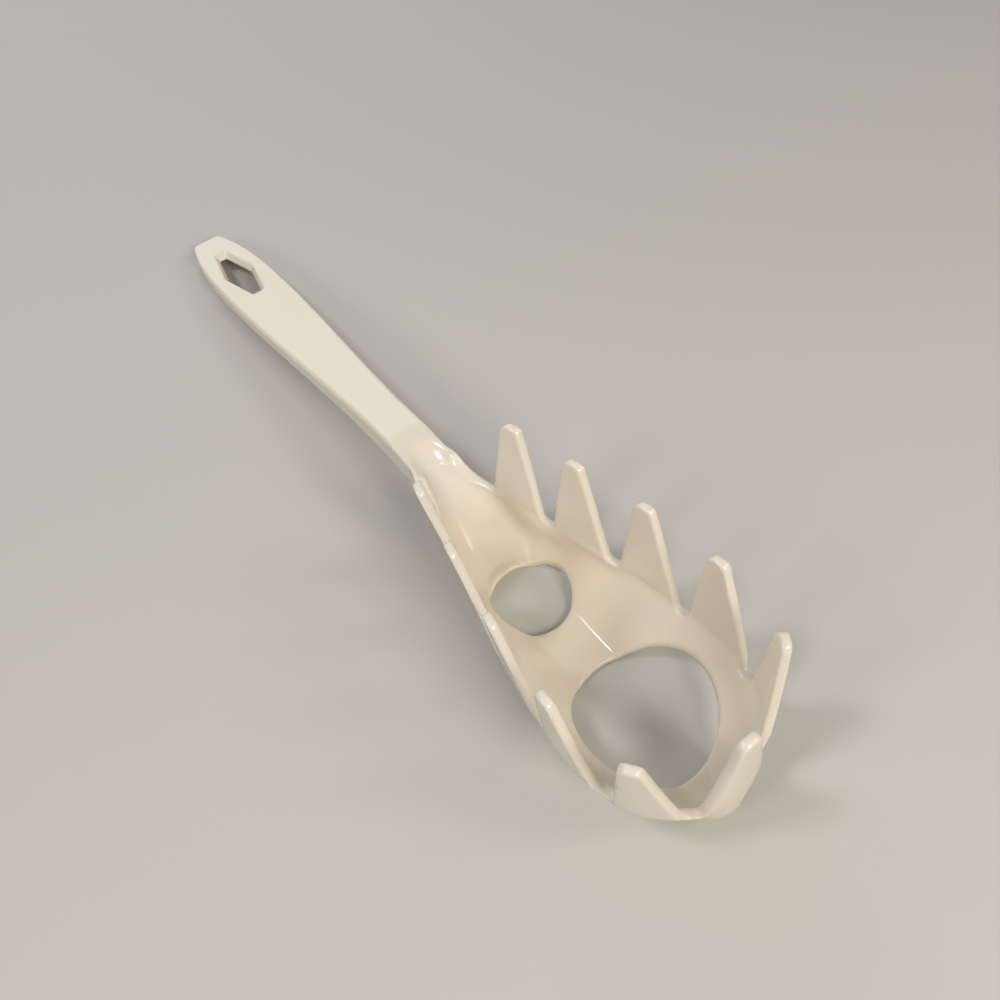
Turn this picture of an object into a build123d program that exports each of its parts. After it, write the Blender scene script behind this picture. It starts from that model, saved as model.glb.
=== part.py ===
from build123d import *
import math
import os

# Pasta server: one moulding with a flat handle, a deep scoop with two drain holes,
# and eleven teeth standing on the rim. It lies as it rests on a table: the keel of
# the scoop and the butt of the handle touch z = 0, and +X points to the front tooth.
# Lengths are in millimetres and angles in degrees. Stations are measured along X
# from the butt of the handle.

# Overall
wall = 2.6
floor_thickness = 2.4
top_thickness = 3.0

# Handle
butt_height = 7.6
handle_rise = 6.42
butt_width = 11.8
grip_width = 23.4
grip_station = 47.0
neck_width = 14.2
neck_station = 160.0
grip_depth = 6.6
grip_depth_station = 65.0
waist_height = 14.1
waist_station = 138.0
handle_end = 182.0
handle_edge_radius = 1.4
butt_corner_radius = 1.6
grip_entry = 22.0
pocket_end = 142.0

# Hanging hole
hang_length = 39.0
hang_width = 13.4
hang_end_width = 5.6
hang_station = 34.5
hang_bevel_width = 1.7
hang_bevel_depth = 2.6

# Scoop: sections across it have a flat keel, a sloping floor, a round blend and a
# leaning wall, and its front is a quarter oval at every height
keel_width = 14.8
keel_rear = 213.0
keel_tip = 176.0
scoop_rear = 160.0
lobe_rear = 166.0
widening_start = 178.0
widest_station = 286.0
widest_width = 57.2
front_reach = 27.5
floor_slope = 45.0
side_lean = 8.0
side_blend = 6.0
front_lean = -3.9
front_blend = 6.0
valley_slope = 30.0
fairing_slope = 12.5

# Rim and teeth
rim_height = 19.5
blend_top = 21.5
rim_end = 192.5
rim_turn_station = 182.0
rim_turn_height = 24.4
top_turn_station = 164.0
first_tooth = 202.3
last_tooth = 298.0
first_tooth_height = 49.7
last_tooth_height = 51.5
tooth_tip_width = 5.4
tooth_rear_lean = 0.3
tip_radius = 2.5
gap_floor_width = 4.6
root_radius = 1.6
corner_tooth_turn = 58.0
front_tooth_height = 52.0
front_tip_width = 5.6
front_gap_height = 16.5
front_gap_offset = 12.0
split_rise = 2.6
neck_end = 195.0

# Drain holes
rear_drain_diameter = 25.6
rear_drain_station = 229.0
front_drain_diameter = 40.8
front_drain_station = 280.0

overrun = 12.0

# Places of the five side teeth, as shares of the run from the first to the last
tooth_shares = (0, 0.232, 0.48, 0.737, 1)
# Heights of the plan outlines, as shares of the curved part's height and then of the
# straight wall's
curved_shares = (0, 0.11, 0.28, 0.47, 0.66, 0.84, 1)
straight_shares = (0, 0.4, 1.2)
# Straight share of the flare from the neck to the widest station
flare_share = 0.62
# Places along an outline, as shares of its length from the nose to the widest station
spine_shares = (0.07, 0.17, 0.32, 0.5, 0.7, 0.86, 1)
# Lean of the wall at those places, as shares of the side lean
lean_shares = (0, 0.5, 1.12, 1, 0.75, 0.5, 0.3)
# Least width of the keel, at its tip in the neck, as a share of its full width
keel_tip_share = 0.15
front_angles = (68, 45, 22)

keel_half = keel_width / 2
top_height = front_tooth_height + overrun


def rise(run, slope):
    return run * math.tan(math.radians(slope))


def handle_top(station):
    """Height of the handle's flat top at a station."""
    return butt_height + rise(station, handle_rise)


def keel_reach(station):
    """Half width of the flat keel at a station: it narrows in the neck."""
    share = (station - keel_tip) / (keel_rear - keel_tip)
    return keel_half * min(max(share, keel_tip_share), 1)


def breadth(height, keel_height, flat, half_width, slope, lean, blend):
    """Reach of a section at a height: flat keel, floor line, round blend, and a wall
    that leans out and lies half_width away at the height of the rim."""
    if height < keel_height:
        return flat
    floor = math.radians(slope)
    side = math.radians(90 - lean)
    drift = math.tan(math.radians(lean))
    run = half_width - flat + (keel_height - rim_height) * drift
    run = run / (math.cos(floor) - math.sin(floor) * drift)
    half_turn = math.tan((side - floor) / 2)
    radius = min(blend, run / half_turn)
    start = run - radius * half_turn
    start_out = flat + start * math.cos(floor)
    start_up = keel_height + start * math.sin(floor)
    centre_out = start_out - radius * math.sin(floor)
    centre_up = start_up + radius * math.cos(floor)
    end_up = centre_up - radius * math.cos(side)
    if slope and height <= start_up:
        return flat + (height - keel_height) / math.tan(floor)
    if height <= end_up:
        return centre_out + math.sqrt(radius**2 - (height - centre_up) ** 2)
    return half_width + (height - rim_height) * drift


curved_heights = [blend_top * share for share in curved_shares]
bulge = max(
    breadth(height, 0, keel_half, front_reach, 0, front_lean, front_blend + wall)
    for height in curved_heights
)
full_length = widest_station + bulge


def along(station):
    """X place of a station."""
    return station - full_length / 2


def half_plan(station):
    """Inner half width of the scoop at the rim: a straight flare from the neck, eased
    into the widest station."""
    share = (station - widening_start) / (widest_station - widening_start)
    rate = 2 / (1 + flare_share)
    part = rate * share
    if share > flare_share:
        part = 1 - rate * (1 - share) ** 2 / (1 - flare_share) / 2
    narrow = neck_width / 2 - wall
    wide = widest_width / 2 - wall
    return narrow + (wide - narrow) * part


def outline(height, base, slope_back, rear_limit, margin):
    """Points of the scoop's plan outline at a height, from its nose round its front."""
    nose = max(keel_rear - (height - base) / math.tan(math.radians(slope_back)), rear_limit)
    side = []
    for share, lean_share in zip(spine_shares, lean_shares):
        station = nose + (widest_station - nose) * share
        keel_height = base + rise(max(keel_rear - station, 0), slope_back)
        half_width = half_plan(station) + margin
        lean = side_lean * lean_share
        flat = keel_reach(station) + margin * math.tan(math.radians(floor_slope / 2))
        blend = side_blend + margin
        reach = breadth(height, keel_height, flat, half_width, floor_slope, lean, blend)
        side.append((along(station), reach))
    widest = side[-1][1]
    reach = front_reach - wall + margin
    front = breadth(height, base, keel_half, reach, 0, front_lean, front_blend + margin)
    for angle in front_angles:
        turn = math.radians(angle)
        place = along(widest_station) + front * math.cos(turn)
        side.append((place, widest * math.sin(turn)))
    tip = (along(widest_station) + front, 0)
    other = [(x, -y) for x, y in reversed(side)]
    return [Vector(x, y, height) for x, y in [(along(nose), 0)] + side + [tip] + other]


def scoop_solid(base, slope_back, rear_limit, margin):
    """Solid of the scoop's outside or inside: a curved part lofted up through its plan
    outlines, with the straight wall lofted on top of it."""
    curved = [base + (blend_top - base) * share for share in curved_shares]
    straight = [blend_top + (front_tooth_height - blend_top) * share for share in straight_shares]
    rim_ring = outline(blend_top, base, slope_back, rear_limit, margin)
    steps = [0]
    for point, after in zip(rim_ring, rim_ring[1:] + rim_ring[:1]):
        steps.append(steps[-1] + (after - point).length)
    solids = []
    for heights in (curved, straight):
        rings = [outline(height, base, slope_back, rear_limit, margin) for height in heights]
        edges = [Edge.make_spline(ring, periodic=True, parameters=steps) for ring in rings]
        solids.append(loft([make_face(edge) for edge in edges]))
    return solids[0] + solids[1]


def tooth_prism(frame, depth, rear, tip, tip_height, front, both=False):
    """Prism of a tooth and its foot, running along the normal of a frame. Rear and
    front give each flank's foot as its place and height, and tip is the tip's edges."""
    flare = gap_floor_width / 2
    points = [
        (rear[0] - flare, rear[1] - overrun),
        (rear[0] - flare, rear[1]),
        rear,
        (tip[0], tip_height),
        (tip[1], tip_height),
        front,
        (front[0] + flare, front[1]),
        (front[0] + flare, rear[1] - overrun),
    ]
    radii = [0, 0, root_radius, tip_radius, tip_radius, root_radius, 0, 0]
    line = FilletPolyline(*points, radius=radii, close=True)
    return extrude(frame * make_face(line), amount=depth, both=both)


# Handle: its side profile crossed with its plan, then its long edges rounded
under_grip = handle_top(grip_depth_station) - grip_depth
top_line = Polyline(
    (along(handle_end), handle_top(handle_end)),
    (along(0), handle_top(0)),
    (along(0), 0),
)
under_line = Spline(
    (along(0), 0),
    (along(grip_depth_station), under_grip),
    (along(waist_station), waist_height),
    (along(handle_end), waist_height),
)
end_line = Line(under_line @ 1, top_line @ 0)
side_face = Plane.XZ * make_face(top_line + under_line + end_line)
side_prism = extrude(side_face, amount=grip_width, both=True)


def handle_plan(inset):
    """Plan of the handle, with its sides and butt moved in."""
    turn = math.radians(grip_entry)
    butt = along(inset)
    end = along(handle_end)
    butt_half = butt_width / 2 - inset
    grip_half = grip_width / 2 - inset
    neck_half = neck_width / 2 - inset
    swell = Spline(
        (butt, butt_half),
        (along(grip_station), grip_half),
        tangents=((math.cos(turn), math.sin(turn)), (1, 0)),
    )
    taper = Spline(
        (along(grip_station), grip_half),
        (along(neck_station), neck_half),
        (end, neck_half),
        tangents=((1, 0), (1, 0)),
    )
    lines = swell + taper + mirror(swell + taper, about=Plane.XZ)
    lines += Line((butt, butt_half), (butt, -butt_half))
    lines += Line((end, neck_half), (end, -neck_half))
    return make_face(lines)


plan_face = handle_plan(0)
plan_face = fillet(plan_face.vertices().group_by(Axis.X)[0], butt_corner_radius)
handle_block = side_prism & extrude(plan_face, amount=top_height)
end_edges = handle_block.edges().group_by(Axis.X)[-1]
top_face = handle_block.faces().filter_by(GeomType.PLANE).sort_by(SortBy.AREA)[-1]
top_edges = top_face.edges() - end_edges
handle_block = fillet(top_edges, handle_edge_radius)

# Pocket under the handle, which leaves a channel with walls of even thickness
pocket_side = Plane.XZ * Polygon(
    (along(0), 0),
    (along(0), handle_top(0) - top_thickness),
    (along(pocket_end), handle_top(pocket_end) - top_thickness),
    (along(pocket_end), 0),
    align=None,
)
pocket = extrude(handle_plan(wall), amount=top_height)
pocket &= extrude(pocket_side, amount=grip_width, both=True)

# Hanging hole: six-sided, bevelled at the top, and square to the handle's top face
tilt = math.radians(handle_rise)
hang_frame = Plane(
    origin=(along(hang_station), 0, handle_top(hang_station)),
    x_dir=(math.cos(tilt), 0, math.sin(tilt)),
    z_dir=(-math.sin(tilt), 0, math.cos(tilt)),
)
hexagon = Polygon(
    (-hang_length / 2, -hang_end_width / 2),
    (0, -hang_width / 2),
    (hang_length / 2, -hang_end_width / 2),
    (hang_length / 2, hang_end_width / 2),
    (0, hang_width / 2),
    (-hang_length / 2, hang_end_width / 2),
    align=None,
)
throat = offset(hexagon, -hang_bevel_width, kind=Kind.INTERSECTION)
bevel_angle = math.degrees(math.atan(hang_bevel_width / hang_bevel_depth))
hang_cut = extrude(hang_frame * throat, amount=overrun, both=True)
hang_cut += extrude(hang_frame * hexagon, amount=-hang_bevel_depth, taper=bevel_angle)

# Scoop: the outer form less the cavity
outer = scoop_solid(0, fairing_slope, scoop_rear, wall)
cavity = scoop_solid(floor_thickness, valley_slope, lobe_rear, 0)

# Rim line that the teeth stand on, seen from the side
rear_floor = (along(rim_end), rim_height)
step_place = along((last_tooth + widest_station + front_reach) / 2)
rim_turn = (along(rim_turn_station), rim_turn_height)
rim_curve = TangentArc(rear_floor, rim_turn, tangent=(-1, 0))
rim_fall = (handle_top(top_turn_station) - rim_turn_height) / (rim_turn_station - top_turn_station)
rim_sides = Polyline(
    rim_turn,
    (along(0), rim_turn_height + rim_fall * rim_turn_station),
    (along(0), -overrun),
    (along(full_length + overrun), -overrun),
    (along(full_length + overrun), front_gap_height),
    (step_place, front_gap_height),
    (step_place, rim_height),
    rear_floor,
)
rim_face = Plane.XZ * make_face(rim_curve + rim_sides)
keep = extrude(rim_face, amount=widest_width, both=True)

# Side teeth: prisms straight across the scoop
run = last_tooth - first_tooth
places = [first_tooth + run * share for share in tooth_shares]
tip_rise = last_tooth_height - first_tooth_height
tip_heights = [first_tooth_height + tip_rise * share for share in tooth_shares]
half_tip = tooth_tip_width / 2
for place, following, tip_height in zip(places, places[1:], tip_heights):
    rear = along(place - half_tip) - rise(tip_height - rim_height, tooth_rear_lean)
    front = along(following - half_tip - gap_floor_width)
    tip = (along(place - half_tip), along(place + half_tip))
    keep += tooth_prism(
        Plane.XZ, widest_width, (rear, rim_height), tip, tip_height, (front, rim_height), True
    )

# Corner teeth and the front tooth: prisms that face out from the rim
tip_lift = last_tooth_height - rim_height
mid_side = widest_width / 2 - wall / 2 + rise(tip_lift, side_lean * lean_shares[-1])
mid_ahead = front_reach - wall / 2 + rise(tip_lift, front_lean)
corner_place = last_tooth - widest_station
corner_out = mid_side * math.sqrt(1 - (corner_place / mid_ahead) ** 2)
gap_share = front_gap_offset / (widest_width / 2 - wall / 2)
gap_out = (front_reach - wall / 2) * math.sqrt(1 - gap_share**2)
turn = math.radians(corner_tooth_turn)
gap_turn = math.atan2(front_gap_offset, gap_out)
gap_half = gap_floor_width / 2
corner_foot = (
    gap_out - gap_half * math.sin(gap_turn) - corner_place,
    front_gap_offset + gap_half * math.cos(gap_turn) - corner_out,
)
corner_front = corner_foot[0] * math.sin(turn) - corner_foot[1] * math.cos(turn)
corner_rear = -half_tip - rise(tip_lift, tooth_rear_lean)
for side in (1, -1):
    face_out = Vector(math.cos(turn), side * math.sin(turn), 0)
    across = Vector(math.sin(turn), -side * math.cos(turn), 0)
    start = Vector(along(last_tooth), side * corner_out, 0) - face_out * overrun
    frame = Plane(origin=start, x_dir=across, z_dir=face_out * side * -1)
    keep += tooth_prism(
        frame,
        -side * overrun * 2,
        (corner_rear, rim_height),
        (-half_tip, half_tip),
        last_tooth_height,
        (corner_front, front_gap_height),
    )
front_base = front_gap_offset - gap_half * math.cos(gap_turn)
front_start = along(widest_station + front_reach / 2)
front_frame = Plane(origin=(front_start, 0, 0), x_dir=(0, 1, 0), z_dir=(1, 0, 0))
keep += tooth_prism(
    front_frame,
    front_reach,
    (-front_base, front_gap_height),
    (-front_tip_width / 2, front_tip_width / 2),
    front_tooth_height,
    (front_base, front_gap_height),
)

# The moulding
moulding = ((handle_block + outer) & keep) - cavity - pocket - hang_cut
for diameter, station in (
    (rear_drain_diameter, rear_drain_station),
    (front_drain_diameter, front_drain_station),
):
    moulding -= Pos(along(station), 0, 0) * Cylinder(diameter / 2, top_height * 2)

# Its named regions, which meet face to face
neck_face = Plane(origin=(along(neck_station), 0, 0), z_dir=(1, 0, 0))
bowl_face = Plane(origin=(along(neck_end), 0, 0), z_dir=(1, 0, 0))
tooth_face = Plane(origin=(0, 0, rim_height + split_rise), z_dir=(0, 0, 1))
handle = moulding.split(neck_face, keep=Keep.BOTTOM)
rest = moulding.split(neck_face, keep=Keep.TOP)
neck = rest.split(bowl_face, keep=Keep.BOTTOM)
head = rest.split(bowl_face, keep=Keep.TOP)
bowl = head.split(tooth_face, keep=Keep.BOTTOM)
teeth = head.split(tooth_face, keep=Keep.TOP)

nodes = {"handle": handle, "neck": neck, "bowl": bowl}
counts = {"left": 0, "right": 0}
for tooth in ShapeList(teeth).sort_by(Axis.X):
    across = tooth.center().Y
    if abs(across) < front_tip_width / 2:
        nodes["tooth_front"] = tooth
        continue
    side = "left" if across > 0 else "right"
    counts[side] += 1
    nodes[f"tooth_{side}_{counts[side]}"] = tooth

os.makedirs("parts", exist_ok=True)
for name, solid in nodes.items():
    export_step(solid, f"parts/{name}.step")
    print(name, round(solid.volume), len(solid.solids()), solid.is_valid)
print("half length", full_length / 2)
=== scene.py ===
# %% [markdown]
# # A cream pasta server
# The server is one moulding in glossy cream plastic: a flat handle, a deep scoop with two
# round drain holes, and eleven teeth on its rim. The CAD frame gives its true shape, cut
# into named regions. This lesson gives those regions the soft edges and the finish of a
# real moulding, and lights them on a pale floor. All lengths are in metres.

import bmesh
import bpy
from mathutils import Matrix, Vector


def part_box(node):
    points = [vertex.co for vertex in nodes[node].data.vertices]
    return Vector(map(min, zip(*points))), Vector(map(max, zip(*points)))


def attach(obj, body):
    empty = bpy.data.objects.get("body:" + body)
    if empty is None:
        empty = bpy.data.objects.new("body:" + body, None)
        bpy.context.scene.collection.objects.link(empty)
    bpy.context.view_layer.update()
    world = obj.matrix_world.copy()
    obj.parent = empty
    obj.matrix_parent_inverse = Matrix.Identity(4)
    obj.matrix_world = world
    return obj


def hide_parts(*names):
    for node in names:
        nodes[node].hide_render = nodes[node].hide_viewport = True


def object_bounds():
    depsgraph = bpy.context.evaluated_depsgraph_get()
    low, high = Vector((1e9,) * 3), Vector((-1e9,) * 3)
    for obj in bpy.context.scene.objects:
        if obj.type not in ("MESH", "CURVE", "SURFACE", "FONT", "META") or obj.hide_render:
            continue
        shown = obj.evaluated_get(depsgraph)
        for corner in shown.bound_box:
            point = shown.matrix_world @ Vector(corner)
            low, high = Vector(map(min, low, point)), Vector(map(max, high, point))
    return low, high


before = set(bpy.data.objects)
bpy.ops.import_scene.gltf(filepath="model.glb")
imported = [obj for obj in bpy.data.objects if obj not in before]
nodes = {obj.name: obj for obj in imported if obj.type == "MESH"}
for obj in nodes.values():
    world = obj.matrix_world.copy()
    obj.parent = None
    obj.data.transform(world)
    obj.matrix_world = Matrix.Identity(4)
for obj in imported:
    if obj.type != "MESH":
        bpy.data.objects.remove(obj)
cad_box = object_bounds()
print("nodes:", len(nodes), "box:", [[round(x, 4) for x in corner] for corner in cad_box])

# %% [markdown]
# ## Camera
# The camera is above and in front of the scoop, a little to its right, and looks down the
# server from the teeth to the handle. Its axes could be given as turns, but directions
# are easier to read, and a cross product squares them up.

# %% Camera
camera_place = Vector((0.17948, -0.07275, 0.24159))
looking_along = Vector((-0.49169, 0.30183, -0.81679)).normalized()
camera_up = Vector((-0.62295, 0.53347, 0.57214))
sensor_width_mm = 36.0
lens_mm = 30.895
nearest_seen = 0.01

camera_data = bpy.data.cameras.new("camera")
camera_data.sensor_width = sensor_width_mm
camera_data.lens = lens_mm
camera_data.clip_start = nearest_seen
camera = bpy.data.objects.new("camera", camera_data)
bpy.context.scene.collection.objects.link(camera)
across = looking_along.cross(camera_up).normalized()
upward = across.cross(looking_along)
axes = Matrix((across, upward, -looking_along)).transposed()
camera.matrix_world = Matrix.Translation(camera_place) @ axes.to_4x4()
bpy.context.scene.camera = camera
bpy.context.scene.view_settings.view_transform = "Standard"
print("camera looks along", [round(x, 3) for x in looking_along])

# %% [markdown]
# ## One closed mesh from the regions
# The real server has no seams, so its skin has to run on from one region to the next.
# The regions could be rounded one by one, but then each cut would show as a groove. Here
# copies of them are joined first, and the faces where two regions meet are deleted.

# %% Planes where the regions meet
merge_distance = 0.000002
plane_tolerance = 0.000005
neck_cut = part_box("neck")[0].x
bowl_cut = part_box("neck")[1].x
tooth_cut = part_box("tooth_front")[0].z
region_cuts = ((0, neck_cut), (0, bowl_cut), (2, tooth_cut))
print("cuts at", [round(place, 4) for axis, place in region_cuts])


def lies_in_cut(face):
    """Whether a face is one of those where two regions meet."""
    points = [vert.co for vert in face.verts]
    return any(
        all(abs(point[axis] - place) < plane_tolerance for point in points)
        for axis, place in region_cuts
    )


# %% Join copies of the regions
joined = bmesh.new()
for name in nodes:
    joined.from_mesh(nodes[name].data)
bmesh.ops.remove_doubles(joined, verts=joined.verts, dist=merge_distance)
inner_faces = [face for face in joined.faces if lies_in_cut(face)]
bmesh.ops.delete(joined, geom=inner_faces, context="FACES")
bmesh.ops.remove_doubles(joined, verts=joined.verts, dist=merge_distance)
open_edges = [edge for edge in joined.edges if not edge.is_manifold]
print("joined faces:", len(joined.faces), "faces between regions:", len(inner_faces))
print("open edges:", len(open_edges))

# %% [markdown]
# ## Skin of the moulding
# Plastic can't fill a sharp corner of its mould, so every edge of the real server is
# slightly round. A bevel would need clean edge loops, which a CAD mesh doesn't have.
# Here the joined mesh is remeshed in small even voxels. Then it is relaxed in pairs of
# steps, one that pulls each point in and one that pushes it out a little more. The pair
# rounds the edges alike and leaves the walls about as thick as they were.

# %% New object from a bmesh
def mesh_object(name, source):
    """New object at the origin, made from a bmesh."""
    data = bpy.data.meshes.new(name)
    source.to_mesh(data)
    made = bpy.data.objects.new(name, data)
    bpy.context.scene.collection.objects.link(made)
    return made


# %% Remesh and relax the skin
voxel_size = 0.00043
relax_rounds = 16
pull_in = 0.5
push_out = -0.52

draft = mesh_object("skin_draft", joined)
joined.free()
remesh = draft.modifiers.new("even_voxels", "REMESH")
remesh.mode = "VOXEL"
remesh.voxel_size = voxel_size
for step in range(relax_rounds):
    for factor in (pull_in, push_out):
        relax = draft.modifiers.new("relax", "SMOOTH")
        relax.factor = factor
        relax.iterations = 1
bpy.context.view_layer.update()
relaxed = draft.evaluated_get(bpy.context.evaluated_depsgraph_get())
skin = bmesh.new()
skin.from_mesh(relaxed.to_mesh())
relaxed.to_mesh_clear()
bpy.data.objects.remove(draft)
skin.normal_update()
print("skin faces:", len(skin.faces))

# %% [markdown]
# ## Round start of the scoop
# The handle's top runs smoothly over into the neck, and where the scoop begins the mould
# leaves a shallow round hollow. Its edge fades into the neck with no corner. A boolean
# with an ellipsoid would leave a hard edge, so points are lowered to the hollow's
# surface, and the place is relaxed some more.

# %% Relax one place
def relax_points(points, rounds, factors):
    """Relaxes some points of the skin, with the factors in turn."""
    for step in range(rounds):
        for factor in factors:
            bmesh.ops.smooth_vert(
                skin, verts=points, factor=factor,
                use_axis_x=True, use_axis_y=True, use_axis_z=True,
            )


# %% Lower the crest and the hollow
handle_height = 0.02528
handle_rise = 0.1125
crest_end = 0.009
neck_height = 0.02668
neck_fall = 0.0917
hollow_centre = 0.0235
hollow_length = 0.0112
hollow_half_width = 0.0066
hollow_depth = 0.0026
hollow_least_facing = 0.2

for vert in skin.verts:
    x, y, z = vert.co
    if 0 < x < crest_end:
        vert.co.z = min(z, handle_height + handle_rise * x)
    share = ((x - hollow_centre) / hollow_length) ** 2 + (y / hollow_half_width) ** 2
    if share < 1 and vert.normal.z > hollow_least_facing:
        vert.co.z = min(z, neck_height - neck_fall * x - hollow_depth * (1 - share))
print("hollow:", 2 * hollow_length, "by", 2 * hollow_half_width, "and", hollow_depth, "deep")

# %% Relax the hollow
soft_centre = Vector((0.010, 0, 0.0255))
soft_radius = 0.0175
hollow_rounds = 30

near_hollow = [vert for vert in skin.verts if (vert.co - soft_centre).length < soft_radius]
relax_points(near_hollow, hollow_rounds, (pull_in, push_out))
print("points relaxed at the hollow:", len(near_hollow))

# %% Relax the crest between handle and neck
crest_from = -0.007
crest_to = 0.0145
crest_least_facing = 0.9
crest_rounds = 120

crest_top = [
    vert for vert in skin.verts
    if crest_from < vert.co.x < crest_to and vert.normal.z > crest_least_facing
]
relax_points(crest_top, crest_rounds, (pull_in,))
print("points relaxed on the crest:", len(crest_top))

# %% [markdown]
# ## Soft valleys between the drain holes
# The flat keel turns up into the side slopes through a rounded valley, which catches the
# light as one long streak. A subdivided patch could be laid over it, but relaxing the
# points that are there keeps one skin. Only the upper side is relaxed, clear of the
# drain holes, so that their edges stay crisp.

# %% Relax the valleys
rear_drain = (0.072, 0.0128)
front_drain = (0.123, 0.0204)
drain_margin = 0.0012
valley_from = 0.080
valley_to = 0.108
valley_inner = 0.004
valley_outer = 0.0115
valley_top = 0.010
valley_least_facing = 0.3
valley_rounds = 40


def in_valley(vert):
    """Whether a point is on the upper side of a valley and clear of the drain holes."""
    x, y, z = vert.co
    return (
        valley_from < x < valley_to
        and valley_inner < abs(y) < valley_outer
        and z < valley_top
        and vert.normal.z > valley_least_facing
        and all(
            (x - centre) ** 2 + y ** 2 > (radius + drain_margin) ** 2
            for centre, radius in (rear_drain, front_drain)
        )
    )


valley_points = [vert for vert in skin.verts if in_valley(vert)]
relax_points(valley_points, valley_rounds, (pull_in,))
print("points relaxed in the valleys:", len(valley_points))

# %% [markdown]
# ## Keeping the size
# Steps that push out can carry a point a hair past the CAD's box. Shrinking the whole
# skin would spoil its fit, so only those points are brought back to the box.

# %% Keep the skin inside the CAD box
low_corner, high_corner = cad_box
for vert in skin.verts:
    for axis in range(3):
        vert.co[axis] = min(max(vert.co[axis], low_corner[axis]), high_corner[axis])
skin.normal_update()
print("highest point of the skin:", round(max(vert.co.z for vert in skin.verts), 5))

# %% [markdown]
# ## Normals of the whole skin
# Cut and capped pieces would each be shaded by themselves, which shows as a line at every
# cut. So each point first keeps the normal that it has on the whole skin, and the pieces
# are shaded with those normals. A few rounds of blending with the neighbours give the
# shine on the edges an even run.

# %% Keep and blend the normals
blend_rounds = 4

kept_normal = skin.verts.layers.float_vector.new("kept_normal")
for vert in skin.verts:
    vert[kept_normal] = vert.normal
for step in range(blend_rounds):
    blended = []
    for vert in skin.verts:
        total = vert[kept_normal].copy()
        for edge in vert.link_edges:
            total += edge.other_vert(vert)[kept_normal]
        blended.append(total.normalized())
    for vert, normal in zip(skin.verts, blended):
        vert[kept_normal] = normal
print("normals kept:", len(skin.verts))

# %% [markdown]
# ## Cutting the skin into the named regions
# The handle, the neck, the bowl and each tooth stay pieces of their own, as they are in
# the CAD. Booleans with blocks would do it too, but a plane cut with a cap is quicker and
# leaves the skin beside the cut as it was.

# %% Cut away what lies past a plane
def cut_away(part, axis, place, keep_above):
    """Removes what lies past a plane, and returns the edges of the opening."""
    point = Vector((0, 0, 0))
    point[axis] = place
    away = Vector((0, 0, 0))
    away[axis] = -1 if keep_above else 1
    whole = part.verts[:] + part.edges[:] + part.faces[:]
    cut = bmesh.ops.bisect_plane(
        part, geom=whole, dist=0, plane_co=point, plane_no=away, clear_outer=True
    )
    return [item for item in cut["geom_cut"] if isinstance(item, bmesh.types.BMEdge)]


# %% Cut out one region
cap_turn_tolerance = 0.0001
pieces = {}


def is_cap(face, cuts):
    """Whether a face closes the opening that one of the cuts made."""
    middle = face.calc_center_median()
    return any(
        abs(abs(face.normal[axis]) - 1) < cap_turn_tolerance
        and abs(middle[axis] - place) < plane_tolerance
        for axis, place, keep_above in cuts
    )


def cut_out(name, source, cuts):
    """Makes the closed piece of a skin that lies on the kept side of every cut. A cut
    is an axis, a place and whether the side above it is kept."""
    part = source.copy()
    normals = part.verts.layers.float_vector["kept_normal"]
    for cut in cuts:
        bmesh.ops.holes_fill(part, edges=cut_away(part, *cut))
    piece = mesh_object(name, part)
    corner_normals = []
    for face in part.faces:
        flat = is_cap(face, cuts)
        for loop in face.loops:
            corner_normals.append(face.normal if flat else loop.vert[normals])
    piece.data.shade_smooth()
    piece.data.normals_split_custom_set(corner_normals)
    part.free()
    pieces[name] = piece
    print(name, "faces", len(piece.data.polygons))


# %% Cut out the handle, the neck and the bowl
before_neck = (0, neck_cut, False)
after_neck = (0, neck_cut, True)
before_bowl = (0, bowl_cut, False)
after_bowl = (0, bowl_cut, True)
under_teeth = (2, tooth_cut, False)
above_rim = (2, tooth_cut, True)

cut_out("handle_moulding", skin, [before_neck])
cut_out("neck_moulding", skin, [after_neck, before_bowl])
cut_out("bowl_moulding", skin, [after_bowl, under_teeth])

# %% Cut out the teeth
clear_of_tooth = 0.0012

tooth_skin = skin.copy()
cut_away(tooth_skin, 2, tooth_cut - clear_of_tooth, True)
for name in sorted(name for name in nodes if name.startswith("tooth")):
    low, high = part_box(name)
    around_tooth = [
        (0, low.x - clear_of_tooth, True),
        (0, high.x + clear_of_tooth, False),
        (1, low.y - clear_of_tooth, True),
        (1, high.y + clear_of_tooth, False),
    ]
    cut_out(f"{name}_moulding", tooth_skin, [*around_tooth, above_rim])
tooth_skin.free()
skin.free()

# %% [markdown]
# ## Cream plastic
# The plastic is a warm, slightly mottled cream with a soft gloss. An image could hold its
# marks, but it would blur up close and need a flat layout of the mesh. Here the marks are
# noise in the object's own space, so they run on from one region to the next.

# %% Material and its shader
light_bending = 1.5
mirror_level = 0.5

plastic = bpy.data.materials.new("cream_plastic")
plastic.use_nodes = True
tree = plastic.node_tree
shader = tree.nodes["Principled BSDF"]
shader.inputs["IOR"].default_value = light_bending
shader.inputs["Specular IOR Level"].default_value = mirror_level
place_in_object = tree.nodes.new("ShaderNodeTexCoord").outputs["Object"]
print("material:", plastic.name)

# %% Helpers for the nodes
first_colour_input = 6
second_colour_input = 7
mixed_colour_output = 2


def noise(scale, detail, roughness, stretch=(1, 1, 1)):
    """Noise over the object's space, with its scale in cells a metre."""
    mapping = tree.nodes.new("ShaderNodeMapping")
    mapping.inputs["Scale"].default_value = stretch
    tree.links.new(place_in_object, mapping.inputs["Vector"])
    texture = tree.nodes.new("ShaderNodeTexNoise")
    texture.inputs["Scale"].default_value = scale
    texture.inputs["Detail"].default_value = detail
    texture.inputs["Roughness"].default_value = roughness
    tree.links.new(mapping.outputs["Vector"], texture.inputs["Vector"])
    return texture.outputs["Fac"]


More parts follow.
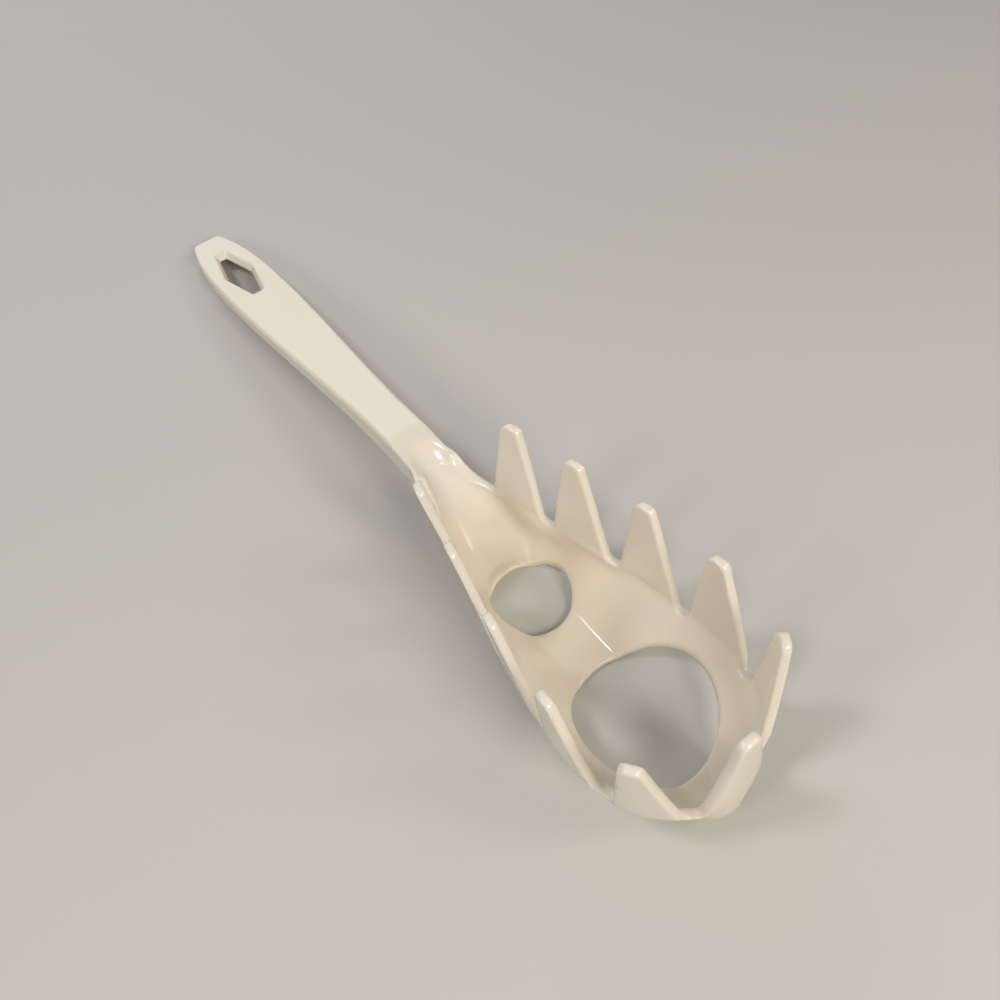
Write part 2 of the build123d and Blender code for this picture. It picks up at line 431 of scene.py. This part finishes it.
def spread(value, low, high, to_low, to_high):
    """Maps a value's range onto another, in the value's own node tree."""
    own_tree = value.id_data
    node = own_tree.nodes.new("ShaderNodeMapRange")
    node.inputs["From Min"].default_value = low
    node.inputs["From Max"].default_value = high
    node.inputs["To Min"].default_value = to_low
    node.inputs["To Max"].default_value = to_high
    own_tree.links.new(value, node.inputs["Value"])
    return node.outputs["Result"]


def product(first, second):
    """One value times another."""
    own_tree = first.id_data
    node = own_tree.nodes.new("ShaderNodeMath")
    node.operation = "MULTIPLY"
    own_tree.links.new(first, node.inputs[0])
    own_tree.links.new(second, node.inputs[1])
    return node.outputs["Value"]


def blend_colours(share, first, second):
    """Mix of a colour socket and a colour, or of two colours, by a share."""
    node = tree.nodes.new("ShaderNodeMix")
    node.data_type = "RGBA"
    tree.links.new(share, node.inputs["Factor"])
    for socket, colour in ((first_colour_input, first), (second_colour_input, second)):
        if isinstance(colour, bpy.types.NodeSocket):
            tree.links.new(colour, node.inputs[socket])
        else:
            node.inputs[socket].default_value = (*colour, 1)
    return node.outputs[mixed_colour_output]


# %% [markdown]
# The cream drifts a little from place to place, and the outer edges get a painted highlight:
# they are paler. Pointiness finds those edges by the bend of the mesh, with no mask to
# paint.

# %% Cream with painted highlights on the edges
cream = (0.800, 0.733, 0.640)
warm_cream = (0.780, 0.703, 0.592)
edge_highlight_colour = (0.850, 0.815, 0.755)
edge_from = 0.52
edge_to = 0.62
most_edge_highlight = 0.6

mottle = noise(scale=24, detail=3, roughness=0.5)
drift = spread(mottle, low=0.3, high=0.7, to_low=0, to_high=1)
body_colour = blend_colours(drift, cream, warm_cream)
bend = tree.nodes.new("ShaderNodeNewGeometry").outputs["Pointiness"]
# Painted highlight: the convex edges are mixed towards a paler cream.
edge_highlight = spread(bend, edge_from, edge_to, 0, most_edge_highlight)
edge_highlit_colour = blend_colours(edge_highlight, body_colour, edge_highlight_colour)
print("cream from", cream, "to", warm_cream)

# %% [markdown]
# The low part of the scoop is painted darker and warmer: painted shade, and the warm light
# that bounces inside it. Two ramps give the place, one along the server from the neck on and
# one down from the rim, so the painted shade has no edge.

# %% Painted shade in the scoop
cavity_shade_cream = (0.755, 0.665, 0.535)
cavity_shade_from = 0.020
cavity_shade_full = 0.060
cavity_shade_top = 0.026
cavity_shade_bottom = 0.008
most_cavity_shade = 0.75

split_place = tree.nodes.new("ShaderNodeSeparateXYZ")
tree.links.new(place_in_object, split_place.inputs["Vector"])
past_neck = spread(split_place.outputs["X"], cavity_shade_from, cavity_shade_full, 0, 1)
low_down = spread(split_place.outputs["Z"], cavity_shade_top, cavity_shade_bottom, 0, most_cavity_shade)
# Painted shade: the low part of the scoop is mixed towards a darker, warmer cream.
cavity_shaded_colour = blend_colours(product(past_neck, low_down), edge_highlit_colour, cavity_shade_cream)
print("stain below", cavity_shade_top)

# %% [markdown]
# The outer face of the right corner tooth has a small grey rub mark. Fine noise breaks
# it into flecks, and the distance to its middle keeps them in one place.

# %% Rub mark on the corner tooth
rub_grey = (0.30, 0.28, 0.26)
mark_middle = (0.140, -0.0266, 0.0393)
mark_radius = 0.0032
mark_core = 0.0008
most_mark = 0.45

to_mark = tree.nodes.new("ShaderNodeVectorMath")
to_mark.operation = "DISTANCE"
to_mark.inputs[1].default_value = mark_middle
tree.links.new(place_in_object, to_mark.inputs[0])
near_mark = spread(to_mark.outputs["Value"], mark_radius, mark_core, 0, 1)
grain = noise(scale=900, detail=2, roughness=0.6)
flecks = spread(grain, low=0.48, high=0.62, to_low=0, to_high=most_mark)
colour = blend_colours(product(near_mark, flecks), cavity_shaded_colour, rub_grey)
tree.links.new(colour, shader.inputs["Base Color"])
print("rub mark at", mark_middle)

# %% [markdown]
# Washing leaves hairlines along the server, which break up the shine, and the mould's
# own texture is a very slight unevenness. Both are too fine for geometry, so the first
# goes into the roughness and the second into a bump.

# %% Shine and fine relief
along_server = (0.12, 1, 1)
shiny = 0.14
rubbed = 0.20
relief_strength = 0.04
relief_depth = 0.0002

hairlines = noise(scale=260, detail=4, roughness=0.6, stretch=along_server)
roughness = spread(hairlines, low=0.35, high=0.7, to_low=shiny, to_high=rubbed)
tree.links.new(roughness, shader.inputs["Roughness"])
relief = tree.nodes.new("ShaderNodeBump")
relief.inputs["Strength"].default_value = relief_strength
relief.inputs["Distance"].default_value = relief_depth
unevenness = noise(scale=300, detail=2, roughness=0.5)
tree.links.new(unevenness, relief.inputs["Height"])
tree.links.new(relief.outputs["Normal"], shader.inputs["Normal"])
print("roughness from", shiny, "to", rubbed)

# %% Give the plastic to the pieces
for name, piece in pieces.items():
    piece.data.materials.append(plastic)
    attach(piece, "root")
    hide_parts(name.removesuffix("_moulding"))
print("pieces in cream plastic:", len(pieces))

# %% [markdown]
# ## Floor
# A plain pale floor carries the server and its soft shadow. Far out the lamps no longer
# reach it, and it would look dark from a low viewpoint. A bigger studio would need more
# lamps, so for the camera alone the far floor fades into the colour of the backdrop.

# %% Floor
floor_half = 3.0
floor_colour = (0.54, 0.52, 0.49)
floor_roughness = 0.7

floor_mesh = bmesh.new()
bmesh.ops.create_grid(floor_mesh, x_segments=1, y_segments=1, size=floor_half)
floor = mesh_object("floor", floor_mesh)
floor_mesh.free()
floor_finish = bpy.data.materials.new("pale_floor")
floor_finish.use_nodes = True
floor_tree = floor_finish.node_tree
floor_shader = floor_tree.nodes["Principled BSDF"]
floor_shader.inputs["Base Color"].default_value = (*floor_colour, 1)
floor_shader.inputs["Roughness"].default_value = floor_roughness
floor.data.materials.append(floor_finish)
print("floor half width:", floor_half)

# %% Fade of the far floor
backdrop = (0.62, 0.61, 0.59)
fade_from = 0.7
fade_full = 1.5


def mix_shaders(own_tree, share, first, second, output):
    """Mixes two shaders by a share, and links the mix to the tree's output node."""
    mixed = own_tree.nodes.new("ShaderNodeMixShader")
    own_tree.links.new(share, mixed.inputs["Fac"])
    own_tree.links.new(first, mixed.inputs[1])
    own_tree.links.new(second, mixed.inputs[2])
    own_tree.links.new(mixed.outputs["Shader"], own_tree.nodes[output].inputs["Surface"])


floor_place = floor_tree.nodes.new("ShaderNodeTexCoord").outputs["Object"]
from_middle = floor_tree.nodes.new("ShaderNodeVectorMath")
from_middle.operation = "LENGTH"
floor_tree.links.new(floor_place, from_middle.inputs[0])
fade = spread(from_middle.outputs["Value"], fade_from, fade_full, 0, 1)
seen = floor_tree.nodes.new("ShaderNodeLightPath").outputs["Is Camera Ray"]
glow = floor_tree.nodes.new("ShaderNodeEmission")
glow.inputs["Color"].default_value = (*backdrop, 1)
near_floor = floor_shader.outputs["BSDF"]
far_floor = glow.outputs["Emission"]
mix_shaders(floor_tree, product(fade, seen), near_floor, far_floor, "Material Output")
print("floor fades from", fade_from, "to", fade_full)

# %% [markdown]
# ## World and lamps
# A faint world fills the deepest shadows, and the camera sees the pale backdrop in its
# place. Most of the light comes from soft square lamps. One bright world would be
# simpler, but then the cavity and the teeth would look flat.

# %% World
sky_colour = (1, 0.99, 0.97)
sky_strength = 0.12

world = bpy.data.worlds.new("studio")
world.use_nodes = True
sky_tree = world.node_tree
sky = sky_tree.nodes["Background"]
sky.inputs["Color"].default_value = (*sky_colour, 1)
sky.inputs["Strength"].default_value = sky_strength
seen_sky = sky_tree.nodes.new("ShaderNodeBackground")
seen_sky.inputs["Color"].default_value = (*backdrop, 1)
seen = sky_tree.nodes.new("ShaderNodeLightPath").outputs["Is Camera Ray"]
plain_light = sky.outputs["Background"]
mix_shaders(sky_tree, seen, plain_light, seen_sky.outputs["Background"], "World Output")
bpy.context.scene.world = world
print("world strength:", sky_strength)

# %% [markdown]
# The front and side lamps light the faces that look at the camera. The left lamp, on the
# camera's left, lifts the handle's side and the inner faces of the teeth across from it.
# The small key lamp, higher up on that side, gives the streak in the valley and the
# glints on the teeth. The large far lamp is mirrored in the handle's top as a soft sheen.

# %% Lamps
aim = Vector((0.05, 0, 0))
warm = (1, 0.95, 0.87)
cool = (0.92, 0.97, 1)


def soft_lamp(name, place, size, power, colour):
    """Square area lamp that faces the server."""
    data = bpy.data.lights.new(name, "AREA")
    data.shape = "SQUARE"
    data.size = size
    data.energy = power
    data.color = colour
    lamp = bpy.data.objects.new(name, data)
    lamp.location = place
    lamp.rotation_euler = (aim - Vector(place)).to_track_quat("-Z", "Y").to_euler()
    bpy.context.scene.collection.objects.link(lamp)
    print(name, "power", power)


soft_lamp("front_lamp", place=(0.8, 0, 0.6), size=0.35, power=4.8, colour=warm)
soft_lamp("side_lamp", place=(0.75, 0.75, 0.8), size=0.4, power=3.6, colour=warm)
soft_lamp("left_lamp", place=(0, -1, 0.75), size=0.4, power=3.4, colour=warm)
soft_lamp("key_lamp", place=(-0.21, -0.445, 0.955), size=0.18, power=2.6, colour=cool)
soft_lamp("far_lamp", place=(-1.15, 0.25, 0.52), size=1.2, power=7, colour=cool)
